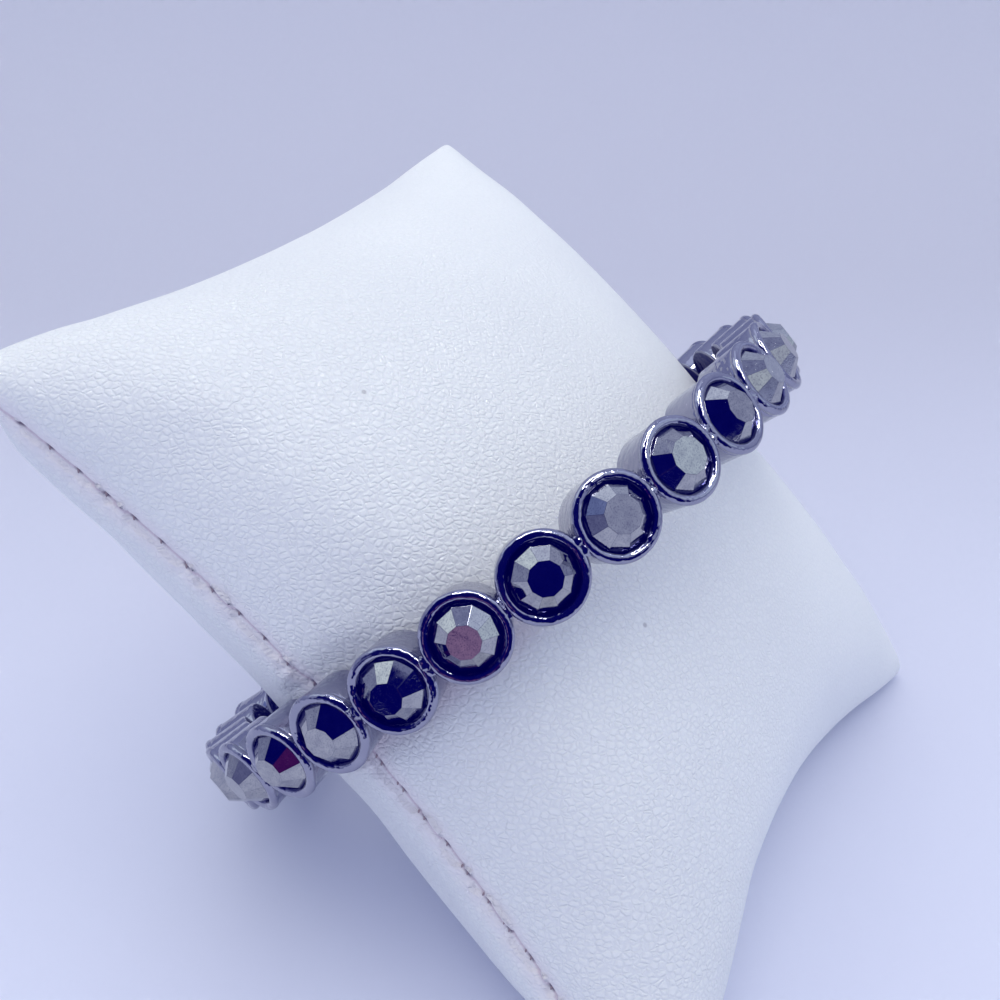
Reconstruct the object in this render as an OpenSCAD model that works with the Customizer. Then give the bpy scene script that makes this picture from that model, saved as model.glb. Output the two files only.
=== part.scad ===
// Crystal bangle round a small display pillow.
// Round metal cups are soldered rim to rim into a closed ring, and each cup holds one faceted crystal.
// The ring is pushed over the middle of a soft pillow, which leans on the ring's lowest cups.
// X runs across the pillow, Y towards its upper end, and Z is up from the surface it rests on.

/* [Bangle] */
// Number of cups soldered into the ring
cup_count = 30; // [26:2:34]
// Outside diameter of a cup, across its rolled rim
cup_d = 7.4; // [7:0.1:8]
// Thickness of the rolled rim
rim_t = 0.9; // [0.7:0.05:1.1]
// Gap between neighbouring rims that the solder bridges
rim_gap = 0.04; // [0.02:0.01:0.1]
// Depth of a cup from the middle of its rim to its back
cup_depth = 4.35; // [3.8:0.05:4.8]
// Diameter of the cup's flat back, outside its rounded edge
cup_back_d = 6.9; // [6.7:0.05:7.1]
// Diameter of the solder bead between two rims
solder_d = 0.8; // [0.5:0.05:1]

/* [Crystals] */
// Diameter of a crystal at its girdle
crystal_d = 5.32; // [5:0.02:5.4]
// Number of facets round the crown
facet_count = 10; // [8:1:12]
// Diameter of the flat table, measured to its corners
table_d = 2.84; // [2.4:0.02:3.2]
// Height of the table above the middle of the rim
table_rise = 1.58; // [1.2:0.02:1.8]
// Slope of the crown's facets, measured from the table
facet_slope = 47; // [42:1:50]
// Depth of the crystal's base below the middle of the rim
crystal_base = 1.1; // [0.9:0.05:1.4]
// Clearance round a crystal in its seat
seat_gap = 0.05; // [0.03:0.01:0.1]

/* [Pillow] */
// Width of the pillow across its corners
pillow_w = 74.6; // [72:0.2:78]
// Length of the pillow from corner to corner
pillow_l = 91.2; // [86:0.2:96]
// Rise of the upper panel above the seam
upper_h = 18; // [15:0.5:20]
// Drop of the lower panel below the seam
lower_h = 22.5; // [19:0.5:24]
// Part of its half length that the lower end pulls in between its corners
lower_pull = 0.19; // [0.1:0.01:0.25]
// Part of its half length that the upper end pulls in between its corners
upper_pull = 0.08; // [0.04:0.01:0.2]
// Part of its half width that each side pulls in between its corners
side_pull = 0.166; // [0.12:0.002:0.2]
// Blunting of the four corners
corner_blunt = 0.03; // [0:0.01:0.06]

/* [Stand] */
// Slope of the ring's axis from the surface
bangle_slope = 45; // [43:0.5:46]
// Slope of the pillow's length from the surface
pillow_slope = 40.5; // [40:0.5:42]
// Clearance between the ring's inner side and the pillow's sides
waist_gap = 0.35; // [0.3:0.05:0.6]
// Distance of the pillow's middle below the ring's plane
pillow_slide = 2.6; // [1:0.2:4]
// Distance of the pillow's seam above the ring's centre
seam_rise = 4.1; // [3:0.1:5]

/* [Hidden] */
$fn = 96;
rim_r = rim_t / 2;
rim_mid = cup_d / 2 - rim_r;
cup_step = 360 / cup_count;
ring_r = (cup_d + rim_gap) / 2 / sin(cup_step / 2);
inner_r = ring_r - cup_depth;
back_round = 0.25;
seat_r = crystal_d / 2 + seat_gap;
groove_depth = 0.55;
table_flat = table_d / 2 * cos(180 / facet_count);
solder_len = cup_d - 2 * rim_mid + rim_gap;

// The two lowest cups stand on the surface, half a step to each side of the middle
cup_lean = cos(cup_step / 2) * cos(bangle_slope);
ring_z = ring_r * cup_lean + rim_mid * sqrt(1 - cup_lean * cup_lean) + rim_r;

// The ring presses the pillow in as far as press_r from the ring's axis, and less beside the cups
press_r = inner_r - waist_gap;
press_half_w = cup_back_d / 2 + waist_gap;
press_slope = 0.5;

// How full the panels are towards their ends and their sides
end_fullness = 2.2;
side_fullness = 2.24;
end_round = 0.57;
side_round = 0.43;
rows = 44;
columns = 24;

function spread(i, n) = sin(180 * i / n - 90);
function pull(s) = s > 0 ? upper_pull : lower_pull;
function blunt(s, t) = 1 - corner_blunt * pow(s * t, 8);
function along(s, t) = pillow_l / 2 * s * (1 - pull(s) * (1 - t * t)) * blunt(s, t);
function across(s, t) = pillow_w / 2 * t * (1 - side_pull * (1 - s * s)) * blunt(s, t);
function rounded(u, full, round) = pow(max(0, 1 - pow(abs(u), full)), round);
function fullness(s, t) = rounded(s, end_fullness, end_round) * rounded(t, side_fullness, side_round);

// A point of the pillow, moved into the ring's frame, where Y is the ring's axis
lean = pillow_slope - bangle_slope;
function in_ring(x, y, z) = [
    x,
    y * cos(lean) - z * sin(lean) - pillow_slide,
    y * sin(lean) + z * cos(lean) + seam_rise
];

// The same point, drawn in towards the ring's axis where the ring is in its way
function pressed(p) =
    let (r = norm([p[0], p[2]]), limit = press_r + press_slope * max(0, abs(p[1]) - press_half_w))
    r > limit ? [p[0] * limit / r, p[1], p[2] * limit / r] : p;

// The same point, leaned with the ring, and pressed flat where it would reach below the surface
function leaned(p) = [
    p[0],
    p[1] * cos(bangle_slope) - p[2] * sin(bangle_slope),
    max(0, p[1] * sin(bangle_slope) + p[2] * cos(bangle_slope) + ring_z)
];
function panel(s, t, height) =
    leaned(pressed(in_ring(across(s, t), along(s, t), height * fullness(s, t))));

upper_points = [
    for (i = [0:rows])
        for (j = [0:columns])
            panel(spread(i, rows), spread(j, columns), upper_h)
];
lower_points = [
    for (i = [1:rows - 1])
        for (j = [1:columns - 1])
            panel(spread(i, rows), spread(j, columns), -lower_h)
];
pillow_points = concat(upper_points, lower_points);

// The two panels share the points of the seam
function on_seam(i, j) = i == 0 || i == rows || j == 0 || j == columns;
function upper_index(i, j) = i * (columns + 1) + j;
function lower_index(i, j) =
    on_seam(i, j) ? upper_index(i, j) : len(upper_points) + (i - 1) * (columns - 1) + j - 1;

// A quad is split from a to c, and the split of each quad runs towards its nearest corner of the pillow
function halves(a, b, c, d) = [[a, b, c], [a, c, d]];
function outward_split(i, j) = (i < rows / 2) == (j < columns / 2);
function upper_faces(i, j) = outward_split(i, j)
    ? halves(upper_index(i, j), upper_index(i + 1, j), upper_index(i + 1, j + 1), upper_index(i, j + 1))
    : halves(upper_index(i + 1, j), upper_index(i + 1, j + 1), upper_index(i, j + 1), upper_index(i, j));
function lower_faces(i, j) = outward_split(i, j)
    ? halves(lower_index(i, j), lower_index(i, j + 1), lower_index(i + 1, j + 1), lower_index(i + 1, j))
    : halves(lower_index(i, j + 1), lower_index(i + 1, j + 1), lower_index(i + 1, j), lower_index(i, j));

// The origin is under the middle of the whole object
point_ys = [for (p = pillow_points) p[1]];
middle_y = (min(point_ys) + max(point_ys)) / 2;

metal = [0.30, 0.30, 0.36];
crystal_grey = [0.16, 0.16, 0.22];
pillow_white = [0.93, 0.93, 0.96];

crystals = [for (i = [1:cup_count]) str("crystal_", i < 10 ? "0" : "", i)];

// Puts its children on cup number i, with Z out of the cup's mouth
module at_cup(i) {
    translate([0, -middle_y, ring_z])
        rotate([bangle_slope, 0, 0])
            rotate([0, (i - 0.5) * cup_step, 0])
                translate([0, 0, ring_r])
                    children();
}

// Half section of a cup: a tapered wall with a closed back, a rolled rim, and a seat for the crystal
module cup_section() {
    difference() {
        union() {
            polygon([
                [0, -cup_depth],
                [cup_back_d / 2 - back_round, -cup_depth],
                [cup_back_d / 2, -cup_depth + back_round],
                [cup_d / 2 - rim_r / 10, -rim_r / 2],
                [rim_mid, 0],
                [0, 0]
            ]);
            translate([rim_mid, 0]) circle(r = rim_r);
        }
        translate([-1, -groove_depth]) square([rim_mid - rim_r + 1, groove_depth + 1]);
        translate([-1, -crystal_base - seat_gap]) square([seat_r + 1, crystal_base]);
    }
}

module cup() {
    rotate_extrude() cup_section();
}

// A short bar of solder that bridges two rims
module solder() {
    rotate([0, cup_step / 2, 0])
        translate([0, 0, ring_r * cos(cup_step / 2)])
            rotate([0, 90, 0])
                cylinder(d = solder_d, h = solder_len, center = true);
}

module cup_ring() {
    color(metal)
        union() {
            for (i = [1:cup_count]) {
                at_cup(i) cup();
                at_cup(i) translate([0, 0, -ring_r]) solder();
            }
        }
}

// A round crystal whose crown is cut by a ring of flat facets
module crystal(i) {
    color(crystal_grey)
        at_cup(i)
            rotate([0, 0, i * 137])
                difference() {
                    translate([0, 0, -crystal_base])
                        cylinder(d = crystal_d, h = crystal_base + table_rise);
                    for (k = [1:facet_count])
                        rotate([0, 0, k * 360 / facet_count])
                            translate([table_flat, -crystal_d, table_rise])
                                rotate([0, facet_slope, 0])
                                    cube([crystal_d * 2, crystal_d * 2, crystal_d]);
                }
}

module pillow() {
    color(pillow_white)
        translate([0, -middle_y, 0])
            polyhedron(
                points = pillow_points,
                faces = [
                    for (i = [0:rows - 1])
                        for (j = [0:columns - 1])
                            each concat(upper_faces(i, j), lower_faces(i, j))
                ]
            );
}

cup_ring();
pillow();
for (i = [1:cup_count])
    crystal(i);
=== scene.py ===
from math import cos, pi, radians, sin

import bpy
import numpy as np
from mathutils import Matrix, Vector
from mathutils.kdtree import KDTree


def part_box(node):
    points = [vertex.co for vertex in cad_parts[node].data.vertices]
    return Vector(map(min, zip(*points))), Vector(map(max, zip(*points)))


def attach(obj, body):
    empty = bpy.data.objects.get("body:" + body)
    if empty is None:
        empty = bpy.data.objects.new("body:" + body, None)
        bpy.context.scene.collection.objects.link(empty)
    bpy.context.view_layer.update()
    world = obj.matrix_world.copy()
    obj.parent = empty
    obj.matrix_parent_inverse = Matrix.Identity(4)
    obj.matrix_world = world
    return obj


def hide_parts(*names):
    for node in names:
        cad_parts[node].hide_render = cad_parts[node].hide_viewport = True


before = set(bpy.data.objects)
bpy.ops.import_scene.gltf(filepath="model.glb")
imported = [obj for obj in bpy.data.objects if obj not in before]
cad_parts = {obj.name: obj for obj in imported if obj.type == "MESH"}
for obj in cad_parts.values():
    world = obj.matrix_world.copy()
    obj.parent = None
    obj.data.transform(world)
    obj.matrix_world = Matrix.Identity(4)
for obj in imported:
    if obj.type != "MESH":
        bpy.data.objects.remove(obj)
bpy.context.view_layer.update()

# The camera. A phone held low over the front left corner, close to the bangle, so that the near cups
# look larger than the far ones. It is placed from the middle of the ring.
MM = 0.001
ring_low, ring_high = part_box("cup_ring")
RING_CENTRE = (ring_low + ring_high) / 2
CAMERA_FROM_RING = Vector((-83.67, -52.0, 69.57)) * MM
AIM_FROM_RING = Vector((2.26, 1.15, 4.82)) * MM
CAMERA_ROLL = radians(1.11)
CAMERA_LENS = 40.44

bpy.ops.object.camera_add(location=RING_CENTRE + CAMERA_FROM_RING)
camera = bpy.context.object
camera.name = "camera"
camera.data.lens = CAMERA_LENS
camera.data.clip_start = 5 * MM
looking = (AIM_FROM_RING - CAMERA_FROM_RING).to_track_quat("-Z", "Y").to_matrix().to_4x4()
camera.matrix_world = Matrix.Translation(camera.location) @ looking @ Matrix.Rotation(-CAMERA_ROLL, 4, "Z")
bpy.context.scene.camera = camera


# The pillow. Two panels of white leatherette are sewn together and filled with soft fibre. It is pushed
# through the ring, which presses its sides in, and its lower end lies pressed flat on the table.
PILLOW_W = 74.6 * MM
PILLOW_L = 91.2 * MM
UPPER_H = 18.0 * MM
LOWER_H = 22.5 * MM
# How full the panels stay towards their ends and their sides
END_FULLNESS, END_ROUND = 2.2, 0.57
SIDE_FULLNESS, SIDE_ROUND = 2.24, 0.43
# How far the edges pull in between the corners, and how blunt the corners are, as parts of half the size
LOWER_PULL = 0.19
UPPER_PULL = 0.072
SIDE_PULL = 0.166
LEFT_BLUNT = 0.03
LOWER_RIGHT_BLUNT = 0.045
TIP_ROUND = 0.009
BLUNT_POWER, TIP_POWER = 8, 40
# How the pillow lies in the ring, and how the ring presses it
RING_SLOPE = radians(45)
RING_INNER_R = 31.24 * MM
RING_HALF_W = 3.45 * MM
PILLOW_LEAN = radians(-4.5)
PILLOW_SLIDE = 2.6 * MM
SEAM_RISE = 4.1 * MM
PRESS_GAP = 0.35 * MM
PRESS_SLOPE = 0.5
ROWS = 96
COLUMNS = 80
DOUBLES = 0.001 * MM
TINY = 1e-9


def deselect():
    bpy.ops.object.select_all(action="DESELECT")


def rounded(u, fullness, power):
    """A profile that is 1 in the middle and falls to 0 at u = 1 and u = -1."""
    return np.clip(1 - np.abs(u) ** fullness, 0, 1) ** power


def pillow_points(s, t, side):
    """Points of the filled pillow in the ring's own frame: s runs along it, t across it, and side is 1 on
    the face and -1 behind."""
    blunting = np.where(t < 0, LEFT_BLUNT, np.where(s < 0, LOWER_RIGHT_BLUNT, 0))
    blunt = 1 - blunting * (s * t) ** BLUNT_POWER - TIP_ROUND * (s * t) ** TIP_POWER
    pull = np.where(s > 0, UPPER_PULL, LOWER_PULL)
    along = PILLOW_L / 2 * s * (1 - pull * (1 - t * t)) * blunt
    across = PILLOW_W / 2 * t * (1 - SIDE_PULL * (1 - s * s)) * blunt
    fullness = rounded(s, END_FULLNESS, END_ROUND) * rounded(t, SIDE_FULLNESS, SIDE_ROUND)
    rise = np.where(side > 0, UPPER_H, -LOWER_H) * fullness
    y = along * cos(PILLOW_LEAN) - rise * sin(PILLOW_LEAN) - PILLOW_SLIDE
    z = along * sin(PILLOW_LEAN) + rise * cos(PILLOW_LEAN) + SEAM_RISE
    return np.stack([across, y, z], axis=1)


def pressed(points):
    """The same points, drawn in towards the ring's axis where the ring is in their way."""
    reach = np.hypot(points[:, 0], points[:, 2])
    beside = np.clip(np.abs(points[:, 1]) - RING_HALF_W - PRESS_GAP, 0, None)
    limit = RING_INNER_R - PRESS_GAP + PRESS_SLOPE * beside
    factor = np.minimum(1, limit / np.maximum(reach, TINY))
    points[:, 0] *= factor
    points[:, 2] *= factor
    return points


def on_table(points):
    """Points of the ring's own frame, whose Y is the ring's axis, leaned with the ring onto the table."""
    y, z = points[:, 1].copy(), points[:, 2].copy()
    points[:, 0] += RING_CENTRE.x
    points[:, 1] = y * cos(RING_SLOPE) - z * sin(RING_SLOPE) + RING_CENTRE.y
    points[:, 2] = y * sin(RING_SLOPE) + z * cos(RING_SLOPE) + RING_CENTRE.z
    points[:, 2] = np.clip(points[:, 2], 0, None)
    return points


def in_ring(points):
    """Points of the scene in the ring's own frame."""
    points = points - np.array(RING_CENTRE)
    y, z = points[:, 1].copy(), points[:, 2].copy()
    points[:, 1] = y * cos(RING_SLOPE) + z * sin(RING_SLOPE)
    points[:, 2] = z * cos(RING_SLOPE) - y * sin(RING_SLOPE)
    return points


def held_clear(points):
    """Points of the pillow in the scene, kept out of the ring's way and on top of the table."""
    return on_table(pressed(in_ring(points)))


def read_points(mesh):
    values = np.zeros(len(mesh.vertices) * 3)
    mesh.vertices.foreach_get("co", values)
    return values.reshape(-1, 3)


def write_points(mesh, points):
    mesh.vertices.foreach_set("co", points.ravel())
    mesh.update()


def add_values(mesh, name, values):
    """Stores one number per point, for the material and for the steps that follow."""
    mesh.attributes.new(name, "FLOAT", "POINT")
    mesh.attributes[name].data.foreach_set("value", np.asarray(values, dtype=np.float32))


def read_values(mesh, name):
    values = np.zeros(len(mesh.vertices), dtype=np.float32)
    mesh.attributes[name].data.foreach_get("value", values)
    return values


def step(low, high, values):
    """A smooth step from 0 at low to 1 at high."""
    u = np.clip((values - low) / (high - low), 0, 1)
    return u * u * (3 - 2 * u)


deselect()
bpy.ops.mesh.primitive_grid_add(x_subdivisions=COLUMNS, y_subdivisions=ROWS, size=2, location=(0, 0, 1))
pillow = bpy.context.object
pillow.name = "display_pillow"
bpy.ops.object.transform_apply(location=True, rotation=False, scale=False)
bpy.ops.object.mode_set(mode="EDIT")
bpy.ops.mesh.duplicate_move(TRANSFORM_OT_translate={"value": (0, 0, -2)})
bpy.ops.mesh.flip_normals()
bpy.ops.object.mode_set(mode="OBJECT")

# The rows and columns lie closer together towards the edges
grid = read_points(pillow.data)
s = np.sin(pi / 2 * grid[:, 1])
t = np.sin(pi / 2 * grid[:, 0])
side = grid[:, 2]
add_values(pillow.data, "run", s)
add_values(pillow.data, "breadth", t)
add_values(pillow.data, "panel", side)
write_points(pillow.data, on_table(pressed(pillow_points(s, t, side))))

# Sewn together, the sheets already face outwards, because the lower one was turned over
bpy.ops.object.mode_set(mode="EDIT")
bpy.ops.mesh.select_all(action="SELECT")
bpy.ops.mesh.remove_doubles(threshold=DOUBLES)
bpy.ops.object.mode_set(mode="OBJECT")

# The filling pushes the two panels out against the seam, which holds its line. The cloth is worked at ten
# times its size, where its stiffness suits it, and no point may move further than the filling lets it.
SIM_SCALE = 10
SIM_FRAMES = 20
SIM_QUALITY = 6
SIM_PRESSURE = 4.0
SPARE_CLOTH = 0.02
SEWN_EDGE = 0.9999
RESTING_HEIGHT = 0.2 * MM
MOST_MOVE = 0.6 * MM
FIRM_CORNERS = (0.55, 0.95)
EVENING_ROUNDS = 5

before = read_points(pillow.data)
pillow.data.transform(Matrix.Scale(SIM_SCALE, 4))
edge = np.maximum(np.abs(read_values(pillow.data, "run")), np.abs(read_values(pillow.data, "breadth")))
sewn = (edge > SEWN_EDGE) | (before[:, 2] < RESTING_HEIGHT)
held = pillow.vertex_groups.new(name="sewn_or_resting")
held.add([int(i) for i in np.nonzero(sewn)[0]], 1.0, "ADD")
bpy.ops.object.modifier_add(type="CLOTH")
cloth = pillow.modifiers["Cloth"].settings
cloth.quality = SIM_QUALITY
cloth.use_pressure = True
cloth.uniform_pressure_force = SIM_PRESSURE
cloth.effector_weights.gravity = 0
cloth.vertex_group_mass = held.name
cloth.shrink_min = -SPARE_CLOTH
pillow.modifiers["Cloth"].point_cache.frame_start = 1
pillow.modifiers["Cloth"].point_cache.frame_end = SIM_FRAMES
for frame_number in range(1, SIM_FRAMES + 1):
    bpy.context.scene.frame_set(frame_number)
bpy.ops.object.modifier_apply(modifier="Cloth")
pillow.vertex_groups.clear()
bpy.context.scene.frame_set(1)
pillow.data.transform(Matrix.Scale(1 / SIM_SCALE, 4))
moves = read_points(pillow.data) - before
lengths = np.linalg.norm(moves, axis=1, keepdims=True)
moves *= np.minimum(1, MOST_MOVE / np.maximum(lengths, TINY))
cornered = np.abs(read_values(pillow.data, "run") * read_values(pillow.data, "breadth"))
moves *= (1 - step(*FIRM_CORNERS, cornered))[:, None]
# Short wrinkles are evened out, and the filled form stays
ends = np.array([line.vertices[:] for line in pillow.data.edges])
for _ in range(EVENING_ROUNDS):
    total, share = moves.copy(), np.ones(len(moves))
    for one, two in (ends.T, ends.T[::-1]):
        np.add.at(total, one, moves[two])
        np.add.at(share, one, 1)
    moves = total / share[:, None]
    moves[sewn] = 0
write_points(pillow.data, held_clear(before + moves))

bpy.ops.object.modifier_add(type="SUBSURF")
pillow.modifiers["Subdivision"].levels = 1
pillow.modifiers["Subdivision"].render_levels = 1
bpy.ops.object.modifier_apply(modifier="Subdivision")

# The strips beside the closing seam, on the left, are cut finer for its folded edge and stitches
STRIP_REACH = -0.9965
STRIP_CUTS = 3
mesh = pillow.data
near = read_values(mesh, "breadth") < STRIP_REACH
deselect()
pillow.select_set(True)
bpy.context.view_layer.objects.active = pillow
bpy.ops.object.mode_set(mode="EDIT")
bpy.ops.mesh.select_mode(type="EDGE")
bpy.ops.mesh.select_all(action="DESELECT")
bpy.ops.object.mode_set(mode="OBJECT")
for line in mesh.edges:
    one, two = line.vertices
    line.select = bool(near[one] and near[two])
bpy.ops.object.mode_set(mode="EDIT")
bpy.ops.mesh.subdivide(number_cuts=STRIP_CUTS)
bpy.ops.mesh.select_mode(type="VERT")
bpy.ops.object.mode_set(mode="OBJECT")
bpy.ops.object.shade_smooth()

# Where the seams run. The left side is the closing seam, and the other three are sewn from inside and then
# turned. Each point of the pillow learns how far it is from them, and where along the closing seam it lies.
ON_SEAM = 0.999999
FINE_STEPS = 4000
MARK_REACH = 9


def nearest(tree_points, points):
    """Index and distance of the nearest of some points, for each of many points."""
    tree = KDTree(len(tree_points))
    for i, point in enumerate(tree_points):
        tree.insert(point, i)
    tree.balance()
    found = [tree.find(point) for point in points]
    return np.array([f[1] for f in found]), np.array([f[2] for f in found])


points = held_clear(read_points(mesh))
run, breadth, panel = (read_values(mesh, name) for name in ("run", "breadth", "panel"))
closing = [int(i) for i in np.nonzero(breadth < -ON_SEAM)[0]]
closing.sort(key=lambda i: run[i])
seam_line = points[closing]
reached = np.concatenate([[0], np.cumsum(np.linalg.norm(np.diff(seam_line, axis=0), axis=1))])
seam_length = reached[-1]
turned_points = points[(np.abs(run) > ON_SEAM) | (breadth > ON_SEAM)]
fine = np.linspace(0, seam_length, FINE_STEPS)
fine_line = np.stack([np.interp(fine, reached, seam_line[:, i]) for i in range(3)], axis=1)
index, closing_gap = nearest(fine_line, points)
along_seam = fine[index]
turned_gap = nearest(turned_points, points)[1]

# The folded edge, in millimetres: the face panel dips to it, and a roll and a fuller bulge stand below it.
# Each stitch pinches the roll, and a thin gap is left between the two panels.
STITCH_PITCH = 2.95 * MM
FOLD_DEPTH, FOLD_REACH = 0.16, 1.1
BULGE_H, BULGE_RISE, BULGE_FALL = 0.6, (0.3, 2.0), (3.0, 7.0)
ROLL_H, ROLL_RISE, ROLL_FALL = 0.32, (0.0, 0.5), (0.6, 2.0)
PINCH_REACH, PINCHED_ROLL = 0.5, 0.55
GAP_DEPTH, GAP_REACH = 0.26, 0.2
GAP_PLAIN, GAP_PINCHED = 0.45, 0.6
TURNED_DEPTH, TURNED_REACH = 0.1, 0.45
SEAM_ENDS = (3, 7)

normals = np.zeros(len(mesh.vertices) * 3)
mesh.vertices.foreach_get("normal", normals)
normals = normals.reshape(-1, 3)
above = closing_gap / MM * np.where(panel > 0, 1, -1)
to_stitch = np.abs((along_seam / STITCH_PITCH + 0.5) % 1 - 0.5) * STITCH_PITCH / MM
pinch = np.exp(-(to_stitch / PINCH_REACH) ** 2)
inside = step(*SEAM_ENDS, along_seam / MM) * step(*SEAM_ENDS, (seam_length - along_seam) / MM)
fold = np.where(above > 0, -FOLD_DEPTH * np.exp(-np.abs(above) / FOLD_REACH), 0)
bulge = BULGE_H * step(*BULGE_RISE, -above) * (1 - step(*BULGE_FALL, -above))
on_roll = step(*ROLL_RISE, -above) * (1 - step(*ROLL_FALL, -above))
roll = ROLL_H * on_roll * (1 - PINCHED_ROLL * pinch)
gap_line = -GAP_DEPTH * np.exp(-(above / GAP_REACH) ** 2) * (GAP_PLAIN + GAP_PINCHED * pinch)
turned = -TURNED_DEPTH * np.exp(-(turned_gap / MM / TURNED_REACH) ** 2)
lift = ((fold + bulge + roll + gap_line) * inside + turned) * MM
points = held_clear(points + normals * lift[:, None])
write_points(mesh, points)

# What the material follows: the closing seam, its stitches, and a painted warm shadow on the face beside one
# side of the ring
RING_SHADOW_STRENGTH = 0.6
RING_SHADOW_REACH = 1.3
RING_SHADOW_FROM_AXIS = (25, 30)
own = in_ring(points) / MM
down_axis = -own[:, 1]
from_axis = np.hypot(own[:, 0], own[:, 2])
beside = np.clip(down_axis - RING_HALF_W / MM, 0, None)
ring_shadow_values = RING_SHADOW_STRENGTH * np.exp(-(beside / RING_SHADOW_REACH) ** 2) * step(*RING_SHADOW_FROM_AXIS, from_axis)
add_values(mesh, "closing_mm", np.clip(closing_gap / MM, 0, MARK_REACH))
add_values(mesh, "stitch_run", along_seam / STITCH_PITCH)
add_values(mesh, "rub_wear_and_ring_shadow", ring_shadow_values * (down_axis > 0))

# The sockets on which a colour mix has its two colours, and its result
FIRST, SECOND, MIXED = 6, 7, 2


def linear(hex_colour):
    """An sRGB hex colour as linear RGBA."""
    channels = [int(hex_colour[i:i + 2], 16) / 255 for i in (0, 2, 4)]
    return [c / 12.92 if c <= 0.04045 else ((c + 0.055) / 1.055) ** 2.4 for c in channels] + [1]


def add_node(tree, kind, inputs=None, **settings):
    """Adds a shader node with its settings, and sets or links its inputs."""
    node = tree.nodes.new("ShaderNode" + kind)
    for name, value in settings.items():
        setattr(node, name, value)
    for key, value in (inputs or {}).items():
        if isinstance(value, bpy.types.NodeSocket):
            tree.links.new(value, node.inputs[key])
        else:
            node.inputs[key].default_value = value
    return node


def new_material(name):
    """A material with nothing in it yet, and its tree of nodes."""
    material = bpy.data.materials.new(name)
    material.use_nodes = True
    material.node_tree.nodes.clear()
    return material, material.node_tree


# White leatherette: soft PVC on a knitted back, embossed by a hot roller. The eye sees a matt milky skin
# with rounded pebbles, painted shade between them, and a faintly warmer painted shade along the seam.
PEBBLES_PER_MM = 1.95
PEBBLE_STRETCH = 1.4
PEBBLE_TURN = radians(-58)
PEBBLE_DOME = 0.29
PEBBLE_VALLEY = 0.14
EMBOSSING_DEPTH = 0.056 * MM
# The embossing and the painted shade in its valleys get less along this line, between these two marks on it,
# in millimetres
ACROSS_SHEET = (0.71, 0.44, -0.535)
SHALLOW_FROM, SHALLOW_TO = -40.0, -6.0
SHALLOWEST = 0.4
# How dark the painted shade in the pebbles' valleys gets at most
VALLEY_SHADE_AMOUNT = 0.35
FRESH_WHITE, WORN_WHITE = "f6f8f3", "ebedea"
# The painted shade in the pebbles' valleys, and the warmer painted shade beside the closing seam
VALLEY_SHADE, SEAM_SHADE_WHITE = "dadcde", "eeeae9"
# Painted shade in the seam's gap, darkest in the stitches' pinholes
PINHOLE_SHADE, GAP_SHADE = "86787a", "dccfd2"
# A painted warm shadow on the face beside the ring
RING_SHADOW_TINT = "d6c6cc"
# The specks of dust lie at these places, in millimetres
DUST = "8c8684"
SPECKS = ((-17.31, 6.54, 53.98), (-13.03, -18.55, 35.93))

leatherette, tree = new_material("white_leatherette_embossed_pvc")
place = add_node(tree, "TexCoord")
in_mm = add_node(tree, "VectorMath", {0: place.outputs["Object"], "Scale": 1 / MM}, operation="SCALE")
# The pebbles' outlines wander by up to a fifth of a millimetre
drift = add_node(tree, "TexNoise", {"Vector": in_mm.outputs["Vector"], "Scale": 1.5, "Detail": 1.0})
push = add_node(tree, "VectorMath", {0: drift.outputs["Color"], 1: (-0.5, -0.5, -0.5)}, operation="ADD")
push = add_node(tree, "VectorMath", {0: push.outputs["Vector"], "Scale": 0.38}, operation="SCALE")
warped = add_node(tree, "VectorMath", {0: in_mm.outputs["Vector"], 1: push.outputs["Vector"]},
                  operation="ADD")
# Rounded pebbles, about 0.5 by 0.7 mm, longer along one way of the sheet
laid = add_node(tree, "Mapping", {"Vector": warped.outputs["Vector"], "Rotation": (0, 0, PEBBLE_TURN),
                                  "Scale": (PEBBLE_STRETCH, 1.0, 1.0)}, vector_type="TEXTURE")
pebbles = add_node(tree, "TexVoronoi", {"Vector": laid.outputs["Vector"], "Scale": PEBBLES_PER_MM,
                                        "Randomness": 0.9}, feature="DISTANCE_TO_EDGE")
domes = add_node(tree, "MapRange", {"Value": pebbles.outputs["Distance"], "From Max": PEBBLE_DOME},
                 interpolation_type="SMOOTHSTEP")
# Longer creases wander between the pebbles, 3 to 6 mm apart
folds = add_node(tree, "TexNoise", {"Vector": laid.outputs["Vector"], "Scale": 0.28, "Detail": 1.0})
folds = add_node(tree, "Math", {0: folds.outputs["Fac"], 1: 0.5}, operation="SUBTRACT")
folds = add_node(tree, "Math", {0: folds.outputs["Value"]}, operation="ABSOLUTE")
creases = add_node(tree, "MapRange", {"Value": folds.outputs["Value"], "From Max": 0.03},
                   interpolation_type="SMOOTHSTEP")
embossed = add_node(tree, "Math", {0: creases.outputs["Result"], 1: 0.4, 2: domes.outputs["Result"]},
                    operation="MULTIPLY_ADD")
# The embossing is deepest on the left and shallower towards the far right side
across_sheet = add_node(tree, "VectorMath", {0: in_mm.outputs["Vector"], 1: ACROSS_SHEET},
                        operation="DOT_PRODUCT")
clear = add_node(tree, "MapRange", {"Value": across_sheet.outputs["Value"],
                                    "From Min": SHALLOW_FROM, "From Max": SHALLOW_TO,
                                    "To Min": 1.0, "To Max": SHALLOWEST}, interpolation_type="SMOOTHSTEP")
grain = add_node(tree, "Bump", {"Height": embossed.outputs["Value"], "Strength": clear.outputs["Result"],
                                "Distance": EMBOSSING_DEPTH})
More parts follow.
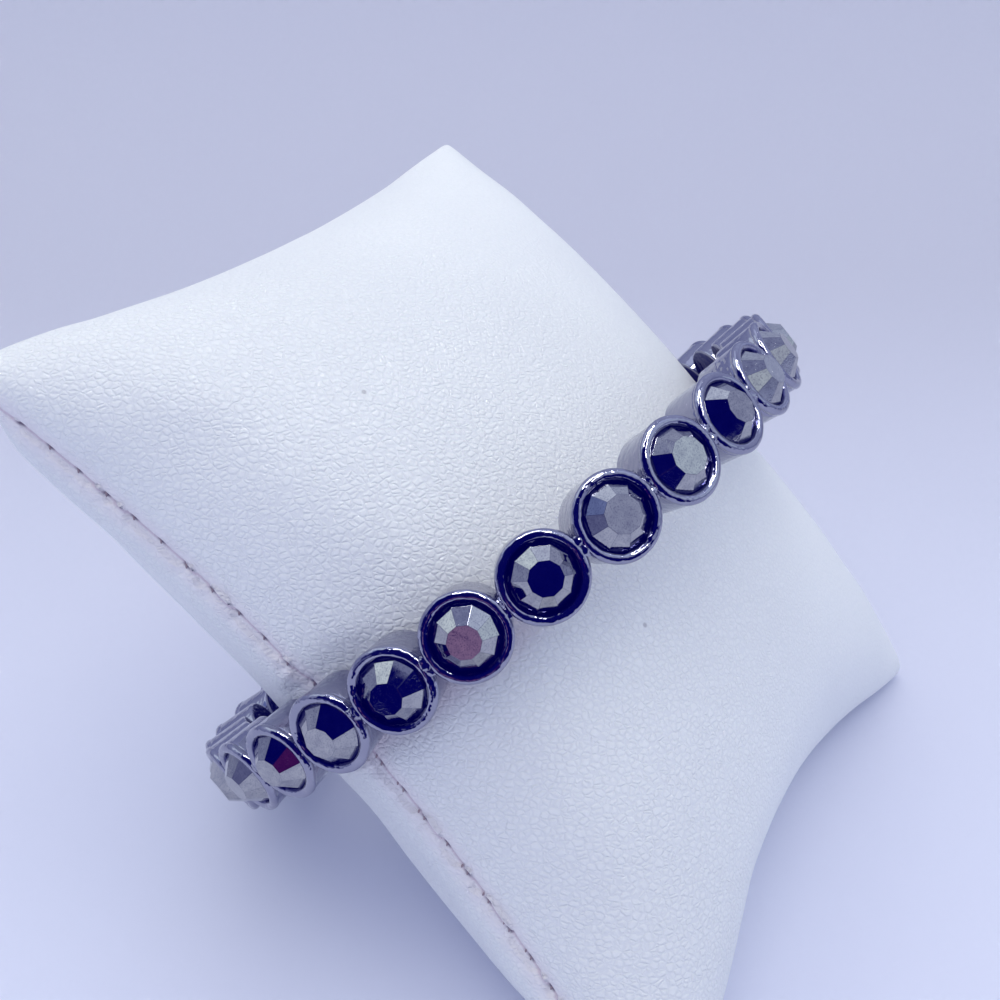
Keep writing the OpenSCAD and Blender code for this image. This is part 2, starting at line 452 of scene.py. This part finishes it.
# The skin: two whites in patches some 15 mm wide, with painted shade in the pebbles' valleys
stains = add_node(tree, "TexNoise", {"Vector": in_mm.outputs["Vector"], "Scale": 0.06, "Detail": 0.0})
skin = add_node(tree, "Mix", {"Factor": stains.outputs["Fac"], FIRST: linear(FRESH_WHITE),
                              SECOND: linear(WORN_WHITE)}, data_type="RGBA")
valley_shade_amount = add_node(tree, "Math", {0: clear.outputs["Result"], 1: VALLEY_SHADE_AMOUNT}, operation="MULTIPLY")
valleys = add_node(tree, "MapRange", {"Value": pebbles.outputs["Distance"], "From Max": PEBBLE_VALLEY,
                                      "To Min": valley_shade_amount.outputs["Value"], "To Max": 0.0},
                   interpolation_type="SMOOTHSTEP")
skin = add_node(tree, "Mix", {"Factor": valleys.outputs["Result"], FIRST: skin.outputs[MIXED],
                              SECOND: linear(VALLEY_SHADE)}, data_type="RGBA")
# The closing seam: a warmer painted shade within 2 mm, and painted shade in a gap that is dark only where a
# stitch pulls it into a pinhole
from_gap = add_node(tree, "Attribute", attribute_name="closing_mm")
seam_shading = add_node(tree, "MapRange", {"Value": from_gap.outputs["Fac"], "From Min": 0.2, "From Max": 2.2},
                   interpolation_type="SMOOTHSTEP")
skin = add_node(tree, "Mix", {"Factor": seam_shading.outputs["Result"], FIRST: linear(SEAM_SHADE_WHITE),
                              SECOND: skin.outputs[MIXED]}, data_type="RGBA")
stitch_run = add_node(tree, "Attribute", attribute_name="stitch_run")
phase = add_node(tree, "Math", {0: stitch_run.outputs["Fac"], 1: 0.5}, operation="PINGPONG")
hole = add_node(tree, "MapRange", {"Value": phase.outputs["Value"], "From Min": 0.03, "From Max": 0.2},
                interpolation_type="SMOOTHSTEP")
# Painted shade in the gap between the panels, darkest at each stitch's pinhole
gap_tone = add_node(tree, "Mix", {"Factor": hole.outputs["Result"], FIRST: linear(PINHOLE_SHADE),
                                  SECOND: linear(GAP_SHADE)}, data_type="RGBA")
gap_edge = add_node(tree, "MapRange", {"Value": from_gap.outputs["Fac"], "From Min": 0.06, "From Max": 0.24},
                    interpolation_type="SMOOTHSTEP")
skin = add_node(tree, "Mix", {"Factor": gap_edge.outputs["Result"], FIRST: gap_tone.outputs[MIXED],
                              SECOND: skin.outputs[MIXED]}, data_type="RGBA")
# A painted warm shadow lies beside one side of the ring, and two specks of dust lie on the face
ring_shade = add_node(tree, "Attribute", attribute_name="rub_wear_and_ring_shadow")
skin = add_node(tree, "Mix", {"Factor": ring_shade.outputs["Fac"], FIRST: skin.outputs[MIXED],
                              SECOND: linear(RING_SHADOW_TINT)}, data_type="RGBA")
for speck in SPECKS:
    away = add_node(tree, "VectorMath", {0: in_mm.outputs["Vector"], 1: speck}, operation="DISTANCE")
    dust = add_node(tree, "MapRange", {"Value": away.outputs["Value"], "From Min": 0.12, "From Max": 0.3,
                                       "To Min": 0.5, "To Max": 0.0}, interpolation_type="SMOOTHSTEP")
    skin = add_node(tree, "Mix", {"Factor": dust.outputs["Result"], FIRST: skin.outputs[MIXED],
                                  SECOND: linear(DUST)}, data_type="RGBA")
shader = add_node(tree, "BsdfPrincipled", {"Base Color": skin.outputs[MIXED], "Roughness": 0.52,
                                           "Normal": grain.outputs["Normal"]})
add_node(tree, "OutputMaterial", {"Surface": shader.outputs["BSDF"]})
pillow.data.materials.append(leatherette)
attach(pillow, "root")
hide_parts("pillow")


# The closing stitches. After filling, the left side is sewn shut by hand with a thin polyester thread, one
# short slanted stitch every 3 mm from the folded edge of the face panel down onto the lower panel.
STITCH_LENGTH = 0.6 * MM
STITCH_WIDTH = 0.18 * MM
STITCH_SLANT = radians(28)
STITCH_LIFT = 0.24 * MM
STITCH_SIDES = 10
# Below the ring each stitch shows at both its ends, above it only at one: how far on, and what part of it
ABOVE_RING = ((0, 1),)
BELOW_RING = ((0, 1), (0.75 * MM, 0.8))
FREE_PITCHES = 3

stitches = []
for number in range(FREE_PITCHES, int(seam_length / STITCH_PITCH) - FREE_PITCHES + 1):
    reach = number * STITCH_PITCH
    i = int(np.argmin(np.abs(reached - reach)))
    normal = Vector(normals[closing[i]])
    onward = Vector(seam_line[min(i + 2, len(seam_line) - 1)] - seam_line[max(i - 2, 0)]).normalized()
    outward = (normal - onward * normal.dot(onward)).normalized()
    across = outward.cross(onward).normalized()
    axes = Matrix((onward, across, outward)).transposed().to_4x4()
    centre = Vector([float(np.interp(reach, reached, points[closing][:, axis])) for axis in range(3)])
    for shift, part in ABOVE_RING if run[closing[i]] > 0 else BELOW_RING:
        deselect()
        bpy.ops.mesh.primitive_uv_sphere_add(segments=STITCH_SIDES, ring_count=STITCH_SIDES, radius=0.5)
        stitch = bpy.context.object
        thread_size = Matrix.Diagonal((STITCH_WIDTH, STITCH_LENGTH * part, STITCH_WIDTH, 1))
        seat = Matrix.Translation(centre + outward * STITCH_LIFT + onward * shift)
        stitch.data.transform(seat @ axes @ Matrix.Rotation(STITCH_SLANT, 4, "Z") @ thread_size)
        stitches.append(stitch)


def joined(pieces, name):
    """One piece made of several, under a name of its own."""
    deselect()
    for piece in pieces:
        piece.select_set(True)
    bpy.context.view_layer.objects.active = pieces[0]
    bpy.ops.object.join()
    bpy.context.object.name = name
    return bpy.context.object


thread = joined(stitches, "closing_stitches")
bpy.ops.object.shade_smooth()

# Spun polyester thread, a soft grey brown that reads as a dark tick against the white skin
twine, tree = new_material("polyester_sewing_thread")
shader = add_node(tree, "BsdfPrincipled", {"Base Color": linear("9e8c88"), "Roughness": 0.7})
add_node(tree, "OutputMaterial", {"Surface": shader.outputs["BSDF"]})
thread.data.materials.append(twine)
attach(thread, "root")


# The ring of cups. Thirty small cups are cast in brass, soldered rim to rim and plated with black nickel.
# Each has a flat back, a wall that widens a little towards the mouth, and a rolled rim round the seat.
CUP_COUNT = 30
CUP_STEP = 2 * pi / CUP_COUNT
CUP_SIDES = 64
RING_R = 35.59 * MM
CUP_DEPTH = 4.35 * MM
BACK_R = 3.42 * MM
BACK_ROUND = 0.28 * MM
WALL_TOP_R = 3.66 * MM
RIM_MID_R = 3.27 * MM
RIM_R = 0.48 * MM
RIM_START, RIM_END = radians(-42), radians(205)
SEAT_R = 2.8 * MM
SEAT_DEPTH = 1.1 * MM
SEAT_SHELF = 0.3 * MM


def arc(centre_r, centre_z, radius, start, end, steps):
    """Stations (radius, height) along an arc of a turned profile."""
    turns = [start + (end - start) * i / steps for i in range(steps + 1)]
    return [(centre_r + radius * cos(a), centre_z + radius * sin(a)) for a in turns]


def draw_up(stations):
    """Extrudes the selected disc through the stations of a profile, which leaves a wall behind it."""
    for (r0, z0), (r1, z1) in zip(stations, stations[1:]):
        bpy.ops.mesh.extrude_region_move(TRANSFORM_OT_translate={"value": (0, 0, z1 - z0)})
        bpy.ops.transform.resize(value=(r1 / r0, r1 / r0, 1), center_override=(0, 0, z1))


def on_ring(angle, turn=0.0):
    """The place of a cup on the ring: Z out of its mouth, turned about its own axis."""
    lean = Matrix.Translation(RING_CENTRE) @ Matrix.Rotation(RING_SLOPE, 4, "X")
    out = Matrix.Rotation(angle, 4, "Y") @ Matrix.Translation((0, 0, RING_R))
    return lean @ out @ Matrix.Rotation(turn, 4, "Z")


# From the back's rounded edge up the wall, over the rolled rim and down into the seat
cup_profile = arc(BACK_R - BACK_ROUND, -CUP_DEPTH + BACK_ROUND, BACK_ROUND, -pi / 2, 0, 4)
cup_profile += [(WALL_TOP_R - 0.03 * MM, -0.62 * MM), (WALL_TOP_R - 0.01 * MM, -0.44 * MM)]
cup_profile += arc(RIM_MID_R, 0, RIM_R, RIM_START, RIM_END, 16)
cup_profile += [(SEAT_R + 0.02 * MM, -0.5 * MM), (SEAT_R, -SEAT_DEPTH), (SEAT_R - SEAT_SHELF, -SEAT_DEPTH)]

deselect()
bpy.ops.mesh.primitive_circle_add(vertices=CUP_SIDES, radius=cup_profile[0][0], fill_type="NGON",
                                  location=(0, 0, cup_profile[0][1]))
cup = bpy.context.object
bpy.ops.object.transform_apply(location=True, rotation=False, scale=False)
bpy.ops.object.mode_set(mode="EDIT")
draw_up(cup_profile)
bpy.ops.mesh.select_all(action="SELECT")
bpy.ops.mesh.normals_make_consistent(inside=False)
bpy.ops.object.mode_set(mode="OBJECT")
bpy.ops.object.shade_smooth_by_angle(angle=radians(35))

# The plating is darker in the seat, where no cloth has polished it. The flat back is painted as dark too, as
# painted shade: it faces the shaded inside of the ring.
SEAT_EDGE_R = 2.9 * MM
SEAT_FLOOR = -1.5 * MM
BACK_SKIN = 0.02 * MM
cup_points = read_points(cup.data)
radii = np.hypot(cup_points[:, 0], cup_points[:, 1])
heights = cup_points[:, 2]
in_seat = (radii < SEAT_EDGE_R) & (heights > SEAT_FLOOR)
add_values(cup.data, "seat", in_seat | (heights < BACK_SKIN - CUP_DEPTH))

# Two uneven beads of solder bridge each pair of rims, side by side halfway between the two cups. A bead is
# a ball that slow waves push out of round, then pressed to its size. Where it sits is in millimetres.
BEAD_SIZE = Vector((0.55, 0.6, 0.38)) * MM
BEAD_SIZES = (0.75, 1.2)
BEAD_APART, BEAD_RISE, BEAD_STRAY = 0.45, 0.4, 0.1
BEAD_WAVES = 9
BEAD_UNEVEN = 0.26
WAVE_PITCHES = (2.5, 8)
WAVE_STARTS = (0, 6.3)
SOLDER_SEED = 11
solder_draws = np.random.default_rng(SOLDER_SEED)
cups = []
for index in range(CUP_COUNT):
    angle = (index + 0.5) * CUP_STEP
    copy = cup.copy()
    copy.data = cup.data.copy()
    copy.data.transform(on_ring(angle))
    bpy.context.collection.objects.link(copy)
    cups.append(copy)
    # The joint is half a step on, on the straight line between the two cups' middles
    joint = on_ring(angle) @ Matrix.Translation((0, 0, -RING_R)) @ Matrix.Rotation(CUP_STEP / 2, 4, "Y")
    joint = joint @ Matrix.Translation((0, 0, RING_R * cos(CUP_STEP / 2)))
    for end in (-1, 1):
        deselect()
        bpy.ops.mesh.primitive_ico_sphere_add(subdivisions=3, radius=1)
        bead = bpy.context.object
        ball = read_points(bead.data)
        for wave in range(BEAD_WAVES):
            lie = solder_draws.normal(size=3)
            lie /= np.linalg.norm(lie)
            pitch = solder_draws.uniform(*WAVE_PITCHES)
            swing = np.sin(pitch * (ball @ lie) + solder_draws.uniform(*WAVE_STARTS))
            ball *= 1 + BEAD_UNEVEN / pitch * swing[:, None]
        write_points(bead.data, ball)
        add_values(bead.data, "seat", np.zeros(len(ball)))
        size = BEAD_SIZE * solder_draws.uniform(*BEAD_SIZES)
        off = Vector((0, end * BEAD_APART, BEAD_RISE)) + Vector(solder_draws.normal(0, BEAD_STRAY, 3))
        bead.data.transform(joint @ Matrix.Translation(off * MM) @ Matrix.Diagonal(size.to_4d()))
        cups.append(bead)
bpy.data.objects.remove(cup)
band = joined(cups, "soldered_band")

# Black nickel plate over hand-polished brass. The eye sees a dark mirror, slightly wavy, with faint tarnish
# that dulls it in places, a navy seat round each stone, and the same navy painted on the backs as painted
# shade.
PLATE_WAVES_PER_MM = 1.5
PLATE_WAVE_DEPTH = 0.1 * MM
TARNISH_PER_MM = 0.5
nickel, tree = new_material("black_nickel_plate_polished")
place = add_node(tree, "TexCoord")
in_mm = add_node(tree, "VectorMath", {0: place.outputs["Object"], "Scale": 1 / MM}, operation="SCALE")
waves = add_node(tree, "TexNoise", {"Vector": in_mm.outputs["Vector"], "Scale": PLATE_WAVES_PER_MM,
                                    "Detail": 1.0})
uneven = add_node(tree, "Bump", {"Height": waves.outputs["Fac"], "Strength": 0.8,
                                 "Distance": PLATE_WAVE_DEPTH})
tarnish = add_node(tree, "TexNoise", {"Vector": in_mm.outputs["Vector"], "Scale": TARNISH_PER_MM,
                                      "Detail": 2.0})
polish = add_node(tree, "MapRange", {"Value": tarnish.outputs["Fac"], "From Min": 0.3, "From Max": 0.7,
                                     "To Min": 0.05, "To Max": 0.13})
plate = add_node(tree, "Mix", {"Factor": tarnish.outputs["Fac"], FIRST: linear("8a8a9a"),
                               SECOND: linear("a0a0ac")}, data_type="RGBA")
# The seat's darker plating, and the painted shade on the flat backs
seat = add_node(tree, "Attribute", attribute_name="seat")
plate = add_node(tree, "Mix", {"Factor": seat.outputs["Fac"], FIRST: plate.outputs[MIXED],
                               SECOND: linear("3c3c5e")}, data_type="RGBA")
shader = add_node(tree, "BsdfPrincipled", {"Base Color": plate.outputs[MIXED], "Metallic": 1.0,
                                           "Roughness": polish.outputs["Result"],
                                           "Normal": uneven.outputs["Normal"]})
add_node(tree, "OutputMaterial", {"Surface": shader.outputs["BSDF"]})
band.data.materials.clear()
band.data.materials.append(nickel)
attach(band, "root")
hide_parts("cup_ring")


# The crystals. Each is a round of dark glass with ten facets ground round a flat table, and a metallic
# coating fired on. It is glued into its seat, turned as it came to hand.
CRYSTAL_R = 2.76 * MM
CRYSTAL_SIDES = 100
FACETS = 10
TABLE_R = 1.42 * MM
TABLE_RISE = 1.58 * MM
FACET_SLOPE = radians(47)
CRYSTAL_BASE = 1.05 * MM
EDGE_ROUND = 0.012 * MM
EDGE_ANGLE = radians(20)
CHAMFER_AREA = 0.25 * MM * MM
# How the stones that show best are turned, in degrees, and the radius of their tables, in millimetres
TURN_STEP = 137
SEEN_TURNS = {23: 1, 24: 5, 25: 27, 26: 23, 27: 23, 28: 16, 29: 13, 30: 1, 1: 30, 2: 34}
SEEN_TABLES = {25: 1.36, 26: 1.38, 28: 1.58, 29: 1.62, 30: 1.5}

deselect()
bpy.ops.mesh.primitive_cylinder_add(vertices=CRYSTAL_SIDES, radius=CRYSTAL_R,
                                    depth=CRYSTAL_BASE + TABLE_RISE,
                                    location=(0, 0, (TABLE_RISE - CRYSTAL_BASE) / 2))
crystal = bpy.context.object
bpy.ops.object.transform_apply(location=True, rotation=False, scale=False)

# One cut for each facet, then the sharp edges are rounded a little and marked as worn
bpy.ops.object.mode_set(mode="EDIT")
for index in range(FACETS):
    around = 2 * pi * index / FACETS
    flat_r = TABLE_R * cos(pi / FACETS)
    facing = (sin(FACET_SLOPE) * cos(around), sin(FACET_SLOPE) * sin(around), cos(FACET_SLOPE))
    bpy.ops.mesh.select_all(action="SELECT")
    bpy.ops.mesh.bisect(plane_co=(flat_r * cos(around), flat_r * sin(around), TABLE_RISE), plane_no=facing,
                        use_fill=True, clear_outer=True, threshold=1e-7)
bpy.ops.mesh.select_all(action="SELECT")
bpy.ops.mesh.normals_make_consistent(inside=False)
bpy.ops.object.mode_set(mode="OBJECT")
bpy.ops.object.modifier_add(type="BEVEL")
bevel = crystal.modifiers["Bevel"]
bevel.width = EDGE_ROUND
bevel.segments = 2
bevel.limit_method = "ANGLE"
bevel.angle_limit = EDGE_ANGLE
bpy.ops.object.modifier_apply(modifier="Bevel")
bpy.ops.object.shade_flat()
on_chamfer = np.zeros(len(crystal.data.loops))
for face in crystal.data.polygons:
    if face.area < CHAMFER_AREA:
        on_chamfer[list(face.loop_indices)] = 1
crystal.data.attributes.new("chamfer", "FLOAT", "CORNER")
crystal.data.attributes["chamfer"].data.foreach_set("value", on_chamfer.astype(np.float32))

# Dark glass under a fired metal film: facets like grey mirrors, cloudy, with worn edges and dull rubbed
# patches. The pits are drawn an eighth of a millimetre wide, coarser than real ones, so that they show.
CLOUDS_PER_MM = 1.3
PITS_PER_MM = 8.0
PATCHES_PER_MM = 0.4
PIT_DEPTH = 0.012 * MM
hematite, tree = new_material("dark_glass_with_fired_metal_coating")
place = add_node(tree, "TexCoord")
in_mm = add_node(tree, "VectorMath", {0: place.outputs["Object"], "Scale": 1 / MM}, operation="SCALE")
clouds = add_node(tree, "TexNoise", {"Vector": in_mm.outputs["Vector"], "Scale": CLOUDS_PER_MM,
                                     "Detail": 3.0, "Roughness": 0.6})
coat = add_node(tree, "Mix", {"Factor": clouds.outputs["Fac"], FIRST: linear("84848a"),
                              SECOND: linear("bcbcb8")}, data_type="RGBA")
pits = add_node(tree, "TexNoise", {"Vector": in_mm.outputs["Vector"], "Scale": PITS_PER_MM, "Detail": 1.0})
patches = add_node(tree, "TexNoise", {"Vector": in_mm.outputs["Vector"], "Scale": PATCHES_PER_MM,
                                      "Detail": 0.0})
rub_wear_and_ring_shadow = add_node(tree, "MapRange", {"Value": patches.outputs["Fac"], "From Min": 0.5, "From Max": 0.6,
                                     "To Min": 0.05, "To Max": 1.0}, interpolation_type="SMOOTHSTEP")
worn = add_node(tree, "MapRange", {"Value": pits.outputs["Fac"], "From Min": 0.5, "From Max": 0.75,
                                   "To Max": 0.5})
coat = add_node(tree, "Mix", {"Factor": worn.outputs["Result"], FIRST: coat.outputs[MIXED],
                              SECOND: linear("5c5c6c")}, data_type="RGBA")
relief = add_node(tree, "Math", {0: pits.outputs["Fac"], 1: rub_wear_and_ring_shadow.outputs["Result"]}, operation="MULTIPLY")
chamfer = add_node(tree, "Attribute", attribute_name="chamfer")
coat = add_node(tree, "Mix", {"Factor": chamfer.outputs["Fac"], FIRST: coat.outputs[MIXED],
                              SECOND: linear("6a6a74")}, data_type="RGBA")
gloss = add_node(tree, "MapRange", {"Value": clouds.outputs["Fac"], "From Min": 0.35, "From Max": 0.7,
                                    "To Min": 0.02, "To Max": 0.08})
unflat = add_node(tree, "Bump", {"Height": relief.outputs["Value"], "Strength": 0.3, "Distance": PIT_DEPTH})
shader = add_node(tree, "BsdfPrincipled", {"Base Color": coat.outputs[MIXED], "Metallic": 1.0,
                                           "Roughness": gloss.outputs["Result"],
                                           "Normal": unflat.outputs["Normal"]})
add_node(tree, "OutputMaterial", {"Surface": shader.outputs["BSDF"]})
crystal.data.materials.append(hematite)

for number in range(1, CUP_COUNT + 1):
    stone = crystal.copy()
    stone.data = crystal.data.copy()
    stone.name = f"cut_crystal_{number:02d}"
    cut = read_points(stone.data)
    table = SEEN_TABLES[number] * MM if number in SEEN_TABLES else TABLE_R
    top = cut[:, 2] > TABLE_RISE - 0.1 * MM
    cut[top, :2] *= table / TABLE_R
    cut[top, 2] -= (table - TABLE_R) * cos(pi / FACETS) * sin(FACET_SLOPE) / cos(FACET_SLOPE)
    write_points(stone.data, cut)
    turn = radians(SEEN_TURNS.get(number, number * TURN_STEP))
    stone.data.transform(on_ring((number - 0.5) * CUP_STEP, turn))
    bpy.context.collection.objects.link(stone)
    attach(stone, "root")
    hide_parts(f"crystal_{number:02d}")
bpy.data.objects.remove(crystal)


# The table. It is a wide sheet of matt paper laid flat, painted pale lavender near the bangle and a little
# greyer further back, as painted shade where the light falls off. A hair's breadth parts it from what stands
# on it.
FLOOR_SIZE = 6
FLOOR_DROP = 0.02 * MM
deselect()
bpy.ops.mesh.primitive_plane_add(size=FLOOR_SIZE, location=(0, 0, -FLOOR_DROP))
floor = bpy.context.object
floor.name = "floor"
# Uncoated paper, which spreads the light evenly and shows soft shadows
paper, tree = new_material("matt_paper")
place = add_node(tree, "TexCoord")
# Painted shade: the paper gets greyer further back, where less light falls on it
depth = add_node(tree, "VectorMath", {0: place.outputs["Object"], 1: (0.85, 0.53, 0)},
                 operation="DOT_PRODUCT")
far = add_node(tree, "MapRange", {"Value": depth.outputs["Value"], "From Min": -0.08, "From Max": 0.16},
               interpolation_type="SMOOTHSTEP")
sheet = add_node(tree, "Mix", {"Factor": far.outputs["Result"], FIRST: linear("e2e5f4"),
                               SECOND: linear("bebfcb")}, data_type="RGBA")
shader = add_node(tree, "BsdfPrincipled", {"Base Color": sheet.outputs[MIXED], "Roughness": 0.85})
add_node(tree, "OutputMaterial", {"Surface": shader.outputs["BSDF"]})
floor.data.materials.append(paper)


# The lamps. A large round lamp hangs nearly overhead, and a wide soft light fills the room from above. The
# polished parts don't mirror either as a flat disc: they mirror the lamp's ring of light, as bright ovals.
LAMP_DISTANCE = 0.7
LAMP_R = 0.25
LAMP_TUBE_R = 0.014
LAMP_WATTS = 0.5
LAMP_GLOW = 48.0
FILL_WATTS = 10.0
FILL_PLACE = (0.25, 0.25, 1.3)
FILL_SIZE = 2.2
LIGHT_COLOUR = (1.0, 0.96, 0.78)


def way(azimuth, elevation):
    """The unit direction at an azimuth and an elevation in degrees."""
    a, e = radians(azimuth), radians(elevation)
    return Vector((cos(a) * cos(e), sin(a) * cos(e), sin(e)))


LAMP_WAY = way(-145, 80)
LAMP_PLACE = RING_CENTRE + LAMP_WAY * LAMP_DISTANCE
lamp_turn = (-LAMP_WAY).to_track_quat("-Z", "Y").to_euler()
deselect()
bpy.ops.object.light_add(type="AREA", location=LAMP_PLACE)
lamp = bpy.context.object
lamp.name = "round_lamp"
lamp.rotation_euler = lamp_turn
lamp.data.shape = "DISK"
lamp.data.size = 2 * LAMP_R
lamp.data.energy = LAMP_WATTS
lamp.data.color = LIGHT_COLOUR
lamp.visible_glossy = False

deselect()
bpy.ops.object.light_add(type="AREA", location=FILL_PLACE)
fill = bpy.context.object
fill.name = "ceiling_light"
fill.data.shape = "SQUARE"
fill.data.size = FILL_SIZE
fill.data.energy = FILL_WATTS
fill.data.color = LIGHT_COLOUR
fill.visible_glossy = False

deselect()
bpy.ops.mesh.primitive_torus_add(major_segments=72, minor_segments=12, major_radius=LAMP_R,
                                 minor_radius=LAMP_TUBE_R)
halo = bpy.context.object
halo.name = "lamp_ring"
halo.data.transform(Matrix.Translation(LAMP_PLACE) @ lamp_turn.to_matrix().to_4x4())
# A milky diffuser tube, seen only as a small bright oval in each rim
glow, tree = new_material("lamp_diffuser")
shader = add_node(tree, "Emission", {"Color": linear("f6f8ff"), "Strength": LAMP_GLOW})
add_node(tree, "OutputMaterial", {"Surface": shader.outputs["Emission"]})
glow.cycles.emission_sampling = "NONE"
halo.data.materials.append(glow)
halo.visible_camera = halo.visible_diffuse = halo.visible_shadow = False


# The dark side of the room, round the camera, as a painted reflection. It is two round screens of navy,
# which only the polished parts mirror. Each has its middle, as azimuth and elevation, and its half width, in
# degrees.
SCREEN_R = 0.2
SCREENS = (((-168, 32), 42), ((-118, 10), 24))
# Painted reflections of pink or pale things in the screens: each one's middle, its half width in degrees,
# and its colour
TINTS = (((-158, 8), 5.5, "ad8ab0"), ((-156, 18), 4.5, "5a1c50"), ((166, 6), 9, "8186af"))
TINT_SOFT = 0.6
screens = []
for (azimuth, elevation), spread in SCREENS:
    deselect()
    bpy.ops.mesh.primitive_uv_sphere_add(segments=72, ring_count=90, radius=SCREEN_R)
    screen = bpy.context.object
    heights = read_points(screen.data)[:, 2]
    bpy.ops.object.mode_set(mode="EDIT")
    bpy.ops.mesh.select_all(action="DESELECT")
    bpy.ops.object.mode_set(mode="OBJECT")
    for point, height_here in zip(screen.data.vertices, heights):
        point.select = bool(height_here < SCREEN_R * cos(radians(spread)) - 1e-6)
    bpy.ops.object.mode_set(mode="EDIT")
    bpy.ops.mesh.delete(type="VERT")
    bpy.ops.object.mode_set(mode="OBJECT")
    aim = way(azimuth, elevation).to_track_quat("Z", "Y").to_matrix().to_4x4()
    screen.data.transform(Matrix.Translation(RING_CENTRE) @ aim)
    screens.append(screen)
screen = joined(screens, "dark_screens")


def patched(tree, direction, colour, patches):
    """A colour by direction, with round patches: each has a middle, a half width, a colour and a soft
    edge's width."""
    for (azimuth, elevation), half_width, patch_colour, soft in patches:
        facing = add_node(tree, "VectorMath", {0: direction, 1: way(azimuth, elevation)},
                          operation="DOT_PRODUCT")
        inside = add_node(tree, "MapRange", {"Value": facing.outputs["Value"],
                                             "From Min": cos(radians(half_width + soft)),
                                             "From Max": cos(radians(half_width - soft))},
                          interpolation_type="SMOOTHSTEP")
        mixed = add_node(tree, "Mix", {"Factor": inside.outputs["Result"], FIRST: colour,
                                       SECOND: patch_colour}, data_type="RGBA")
        colour = mixed.outputs[MIXED]
    return colour


# A navy painted reflection, which gives the stones their near black tables and the rims their dark bands
reflection_paint, tree = new_material("painted_room_reflection")
on_screen = add_node(tree, "NewGeometry")
from_ring = add_node(tree, "VectorMath", {0: on_screen.outputs["Position"], 1: RING_CENTRE},
                     operation="SUBTRACT")
from_ring = add_node(tree, "VectorMath", {0: from_ring.outputs["Vector"]}, operation="NORMALIZE")
shade = patched(tree, from_ring.outputs["Vector"], linear("070759"),
                [(middle, half, linear(tint), TINT_SOFT) for middle, half, tint in TINTS])
shader = add_node(tree, "Emission", {"Color": shade})
add_node(tree, "OutputMaterial", {"Surface": shader.outputs["Emission"]})
reflection_paint.cycles.emission_sampling = "NONE"
screen.data.materials.clear()
screen.data.materials.append(reflection_paint)
screen.visible_camera = screen.visible_diffuse = screen.visible_shadow = False
screen.visible_transmission = False


# The walls and windows. The walls are pale lavender, darker low down and straight up, and the windows are
# round and brighter. Their colours are light, so they are linear and may pass 1.
LOW_WALL, HIGH_WALL, CEILING = (0.35, 0.39, 0.6, 1), (0.52, 0.57, 0.8, 1), (0.36, 0.4, 0.65, 1)
# Each window's middle, its half width in degrees, its light, and how soft its edge is
WINDOWS = (
    ((102, 44), 17, (1.1, 1.25, 1.4, 1), 2),
    ((45, 57), 14, (0.95, 1.05, 1.35, 1), 2),
    ((-55, 55), 15, (0.86, 0.98, 1.3, 1), 3),
    ((-66, 24), 13, (0.82, 0.96, 1.15, 1), 2),
    ((-86, 42), 8, (0.74, 0.82, 0.98, 1), 1),
    ((-122, 46), 7, (0.82, 0.92, 1.05, 1), 1),
    ((8, 32), 14, (0.6, 0.67, 0.92, 1), 3),
    ((-17, 10), 9, (0.58, 0.65, 0.92, 1), 2),
    ((124, 42), 8, (0.26, 0.33, 0.66, 1), 1),
)
world = bpy.data.worlds.new("studio")
bpy.context.scene.world = world
world.use_nodes = True
tree = world.node_tree
tree.nodes.clear()
sky = add_node(tree, "TexCoord")
skyward = add_node(tree, "SeparateXYZ", {"Vector": sky.outputs["Generated"]})
low = add_node(tree, "MapRange", {"Value": skyward.outputs["Z"], "From Min": 0.05, "From Max": 0.5},
               interpolation_type="SMOOTHSTEP")
walls = add_node(tree, "Mix", {"Factor": low.outputs["Result"], FIRST: LOW_WALL, SECOND: HIGH_WALL},
                 data_type="RGBA")
high = add_node(tree, "MapRange", {"Value": skyward.outputs["Z"], "From Min": 0.8, "From Max": 0.95},
                interpolation_type="SMOOTHSTEP")
walls = add_node(tree, "Mix", {"Factor": high.outputs["Result"], FIRST: walls.outputs[MIXED],
                               SECOND: CEILING}, data_type="RGBA")
around = patched(tree, sky.outputs["Generated"], walls.outputs[MIXED], WINDOWS)
background = add_node(tree, "Background", {"Color": around, "Strength": 1.0})
add_node(tree, "OutputWorld", {"Surface": background.outputs["Background"]})

# The picture's tones are plain, with the blacks lifted to a deep navy
BLACK_LIFT = 0.045
tones = bpy.context.scene.view_settings
tones.view_transform = "Standard"
tones.use_curve_mapping = True
tones.curve_mapping.black_level = (0, 0, -BLACK_LIFT)
